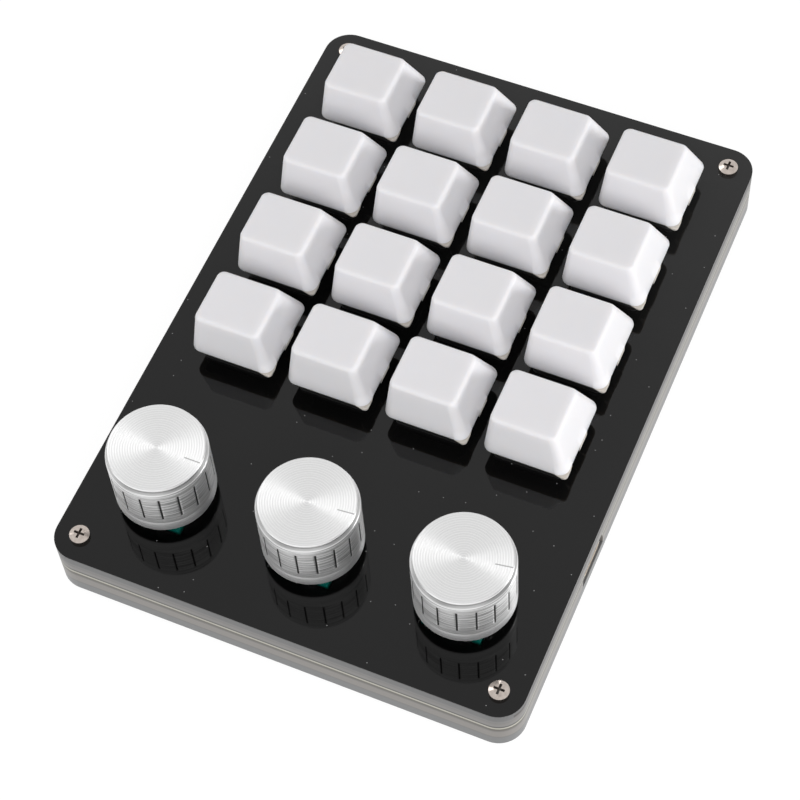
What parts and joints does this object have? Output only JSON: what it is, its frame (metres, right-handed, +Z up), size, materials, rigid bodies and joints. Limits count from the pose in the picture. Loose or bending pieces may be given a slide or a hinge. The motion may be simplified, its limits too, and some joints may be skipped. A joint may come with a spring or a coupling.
{
  "type": "macro keypad with knobs",
  "caption": "Small desk keypad: sprung square keys in a grid and turning, push-in metal knobs on a stacked-sheet case.",
  "frame": {"origin": "under the middle of the case, on the surface that the feet stand on", "axes": "+X along the key rows towards the side with the socket, +Y away from the knobs, +Z up"},
  "size_m": [0.098, 0.1396, 0.0316],
  "materials": {
    "top_sheet": "gloss black acrylic",
    "clear_sheet": "cut edge of smoky acrylic",
    "screw_metal": "nickel plated",
    "foot_rubber": "matt",
    "board": "glass-fibre board",
    "dark_part": "moulded",
    "socket_metal": "bright",
    "switch_dark": "moulded",
    "switch_clear": "smoky",
    "contact_metal": "plated",
    "spring_metal": "bright wire",
    "encoder_green": "moulded",
    "bushing_metal": "turned",
    "keycap": "milky, slightly soft",
    "stem": "moulded",
    "knob_metal": "bright turned"
  },
  "bodies": {
    "case": {"top_plate": "top_sheet", "upper_spacer": "clear_sheet", "lower_spacer": "clear_sheet", "bottom_plate": "clear_sheet", "case_screws": "screw_metal", "case_nuts": "screw_metal", "rubber_feet": "foot_rubber", "pcb": "board", "diodes": "dark_part", "controller_chip": "dark_part", "usb_socket": "socket_metal", "switch_bases": "switch_dark", "switch_covers": "switch_clear", "switch_contacts": "contact_metal", "key_springs": "spring_metal", "encoder_bases": "encoder_green", "encoder_bushings": "bushing_metal", "push_domes": "contact_metal"},
    "key_r1c1": {"keycap_r1c1": "keycap", "key_stem_r1c1": "stem"},
    "key_r1c2": {"keycap_r1c2": "keycap", "key_stem_r1c2": "stem"},
    "key_r1c3": {"keycap_r1c3": "keycap", "key_stem_r1c3": "stem"},
    "key_r1c4": {"keycap_r1c4": "keycap", "key_stem_r1c4": "stem"},
    "key_r2c1": {"keycap_r2c1": "keycap", "key_stem_r2c1": "stem"},
    "key_r2c2": {"keycap_r2c2": "keycap", "key_stem_r2c2": "stem"},
    "key_r2c3": {"keycap_r2c3": "keycap", "key_stem_r2c3": "stem"},
    "key_r2c4": {"keycap_r2c4": "keycap", "key_stem_r2c4": "stem"},
    "key_r3c1": {"keycap_r3c1": "keycap", "key_stem_r3c1": "stem"},
    "key_r3c2": {"keycap_r3c2": "keycap", "key_stem_r3c2": "stem"},
    "key_r3c3": {"keycap_r3c3": "keycap", "key_stem_r3c3": "stem"},
    "key_r3c4": {"keycap_r3c4": "keycap", "key_stem_r3c4": "stem"},
    "key_r4c1": {"keycap_r4c1": "keycap", "key_stem_r4c1": "stem"},
    "key_r4c2": {"keycap_r4c2": "keycap", "key_stem_r4c2": "stem"},
    "key_r4c3": {"keycap_r4c3": "keycap", "key_stem_r4c3": "stem"},
    "key_r4c4": {"keycap_r4c4": "keycap", "key_stem_r4c4": "stem"},
    "spindle_1": {"encoder_rotor_1": "dark_part"},
    "dial_1": {"knob_1": "knob_metal", "encoder_shaft_1": "bushing_metal"},
    "spindle_2": {"encoder_rotor_2": "dark_part"},
    "dial_2": {"knob_2": "knob_metal", "encoder_shaft_2": "bushing_metal"},
    "spindle_3": {"encoder_rotor_3": "dark_part"},
    "dial_3": {"knob_3": "knob_metal", "encoder_shaft_3": "bushing_metal"}
  },
  "joints": [
    {"name": "press_r1c1", "type": "slide", "parent": "case", "child": "key_r1c1", "axis": [0, 0, 1], "range_m": [-0.004, 0], "stiffness_N_per_m": 75, "springref_m": 0.004, "deforming": ["key_springs"]},
    {"name": "press_r1c2", "type": "slide", "parent": "case", "child": "key_r1c2", "axis": [0, 0, 1], "range_m": [-0.004, 0], "stiffness_N_per_m": 75, "springref_m": 0.004, "deforming": ["key_springs"]},
    {"name": "press_r1c3", "type": "slide", "parent": "case", "child": "key_r1c3", "axis": [0, 0, 1], "range_m": [-0.004, 0], "stiffness_N_per_m": 75, "springref_m": 0.004, "deforming": ["key_springs"]},
    {"name": "press_r1c4", "type": "slide", "parent": "case", "child": "key_r1c4", "axis": [0, 0, 1], "range_m": [-0.004, 0], "stiffness_N_per_m": 75, "springref_m": 0.004, "deforming": ["key_springs"]},
    {"name": "press_r2c1", "type": "slide", "parent": "case", "child": "key_r2c1", "axis": [0, 0, 1], "range_m": [-0.004, 0], "stiffness_N_per_m": 75, "springref_m": 0.004, "deforming": ["key_springs"]},
    {"name": "press_r2c2", "type": "slide", "parent": "case", "child": "key_r2c2", "axis": [0, 0, 1], "range_m": [-0.004, 0], "stiffness_N_per_m": 75, "springref_m": 0.004, "deforming": ["key_springs"]},
    {"name": "press_r2c3", "type": "slide", "parent": "case", "child": "key_r2c3", "axis": [0, 0, 1], "range_m": [-0.004, 0], "stiffness_N_per_m": 75, "springref_m": 0.004, "deforming": ["key_springs"]},
    {"name": "press_r2c4", "type": "slide", "parent": "case", "child": "key_r2c4", "axis": [0, 0, 1], "range_m": [-0.004, 0], "stiffness_N_per_m": 75, "springref_m": 0.004, "deforming": ["key_springs"]},
    {"name": "press_r3c1", "type": "slide", "parent": "case", "child": "key_r3c1", "axis": [0, 0, 1], "range_m": [-0.004, 0], "stiffness_N_per_m": 75, "springref_m": 0.004, "deforming": ["key_springs"]},
    {"name": "press_r3c2", "type": "slide", "parent": "case", "child": "key_r3c2", "axis": [0, 0, 1], "range_m": [-0.004, 0], "stiffness_N_per_m": 75, "springref_m": 0.004, "deforming": ["key_springs"]},
    {"name": "press_r3c3", "type": "slide", "parent": "case", "child": "key_r3c3", "axis": [0, 0, 1], "range_m": [-0.004, 0], "stiffness_N_per_m": 75, "springref_m": 0.004, "deforming": ["key_springs"]},
    {"name": "press_r3c4", "type": "slide", "parent": "case", "child": "key_r3c4", "axis": [0, 0, 1], "range_m": [-0.004, 0], "stiffness_N_per_m": 75, "springref_m": 0.004, "deforming": ["key_springs"]},
    {"name": "press_r4c1", "type": "slide", "parent": "case", "child": "key_r4c1", "axis": [0, 0, 1], "range_m": [-0.004, 0], "stiffness_N_per_m": 75, "springref_m": 0.004, "deforming": ["key_springs"]},
    {"name": "press_r4c2", "type": "slide", "parent": "case", "child": "key_r4c2", "axis": [0, 0, 1], "range_m": [-0.004, 0], "stiffness_N_per_m": 75, "springref_m": 0.004, "deforming": ["key_springs"]},
    {"name": "press_r4c3", "type": "slide", "parent": "case", "child": "key_r4c3", "axis": [0, 0, 1], "range_m": [-0.004, 0], "stiffness_N_per_m": 75, "springref_m": 0.004, "deforming": ["key_springs"]},
    {"name": "press_r4c4", "type": "slide", "parent": "case", "child": "key_r4c4", "axis": [0, 0, 1], "range_m": [-0.004, 0], "stiffness_N_per_m": 75, "springref_m": 0.004, "deforming": ["key_springs"]},
    {"name": "turn_1", "type": "hinge", "parent": "case", "child": "spindle_1", "pos_m": [-0.0322, -0.04935, 0.0168], "axis": [0, 0, 1], "continuous": true},
    {"name": "push_1", "type": "slide", "parent": "spindle_1", "child": "dial_1", "axis": [0, 0, 1], "range_m": [-0.0005, 0], "stiffness_N_per_m": 6000, "springref_m": 0.0002, "deforming": ["push_domes"]},
    {"name": "turn_2", "type": "hinge", "parent": "case", "child": "spindle_2", "pos_m": [-0.0007, -0.04935, 0.0168], "axis": [0, 0, 1], "continuous": true},
    {"name": "push_2", "type": "slide", "parent": "spindle_2", "child": "dial_2", "axis": [0, 0, 1], "range_m": [-0.0005, 0], "stiffness_N_per_m": 6000, "springref_m": 0.0002, "deforming": ["push_domes"]},
    {"name": "turn_3", "type": "hinge", "parent": "case", "child": "spindle_3", "pos_m": [0.0308, -0.04935, 0.0168], "axis": [0, 0, 1], "continuous": true},
    {"name": "push_3", "type": "slide", "parent": "spindle_3", "child": "dial_3", "axis": [0, 0, 1], "range_m": [-0.0005, 0], "stiffness_N_per_m": 6000, "springref_m": 0.0002, "deforming": ["push_domes"]}
  ]
}
